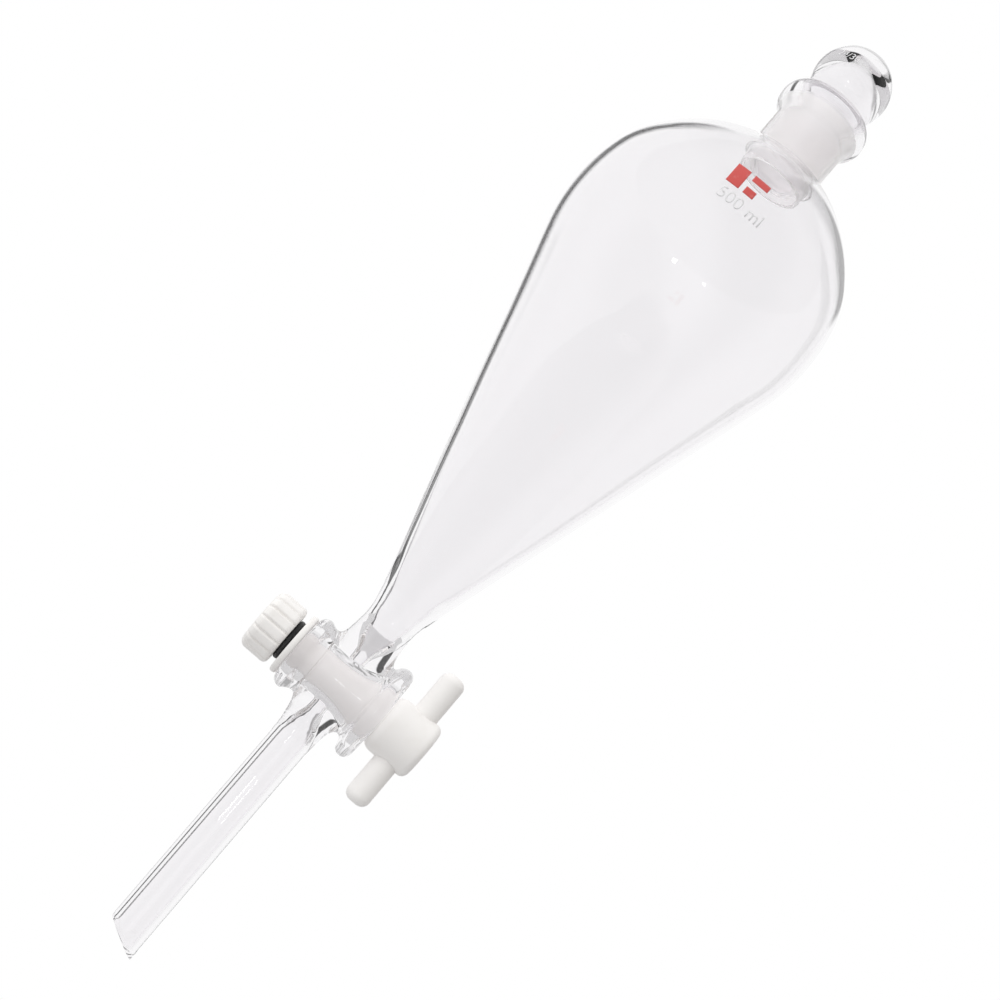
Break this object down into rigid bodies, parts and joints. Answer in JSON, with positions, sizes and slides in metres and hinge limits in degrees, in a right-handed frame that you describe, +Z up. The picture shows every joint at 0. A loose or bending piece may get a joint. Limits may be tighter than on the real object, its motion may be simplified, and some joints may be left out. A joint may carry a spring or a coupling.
{
  "type": "separatory funnel",
  "caption": "Pear-shaped glass separatory funnel with a ground-glass stopper, a plastic stopcock with a bar handle and fluted nut, and a slant-cut drip stem.",
  "frame": {"origin": "on the funnel's axis at the middle of the straight neck, where a stand's clamp grips", "axes": "+Z up the funnel's axis to the stopper, +X along the stopcock's axis from the nut to the handle"},
  "size_m": [0.0968, 0.0968, 0.3738],
  "materials": {
    "borosilicate": "clear, fire-polished; frosted in the ground socket",
    "stopper_glass": "clear head, frosted ground cone",
    "white_ptfe": "turned, waxy satin",
    "black_rubber": "smooth, matt"
  },
  "bodies": {
    "glass_body": {"neck_socket": "borosilicate", "pear_bulb": "borosilicate", "stopcock_barrel": "borosilicate", "drip_stem": "borosilicate"},
    "stopper": {"stopper": "stopper_glass"},
    "plug": {"stopcock_plug": "white_ptfe", "handle_bar": "white_ptfe", "thrust_washer": "white_ptfe"},
    "seal": {"o_ring": "black_rubber"},
    "nut": {"retaining_nut": "white_ptfe"}
  },
  "joints": [
    {"name": "stopper_lift", "type": "slide", "parent": "glass_body", "child": "stopper", "axis": [0, 0, 1], "range_m": [0, 0.06]},
    {"name": "plug_turn", "type": "hinge", "parent": "glass_body", "child": "plug", "pos_m": [0, 0, -0.22915], "axis": [1, 0, 0], "continuous": true},
    {"name": "seal_travel", "type": "slide", "parent": "plug", "child": "seal", "axis": [-1, 0, 0], "range_m": [0, 0.01052]},
    {"name": "nut_spin", "type": "hinge", "parent": "seal", "child": "nut", "pos_m": [-0.0264, 0, -0.22915], "axis": [-1, 0, 0], "range_deg": [0, 2520]}
  ],
  "couplings": [
    {"joint": "seal_travel", "follows": "nut_spin", "m_per_rad": 0.00023873}
  ]
}
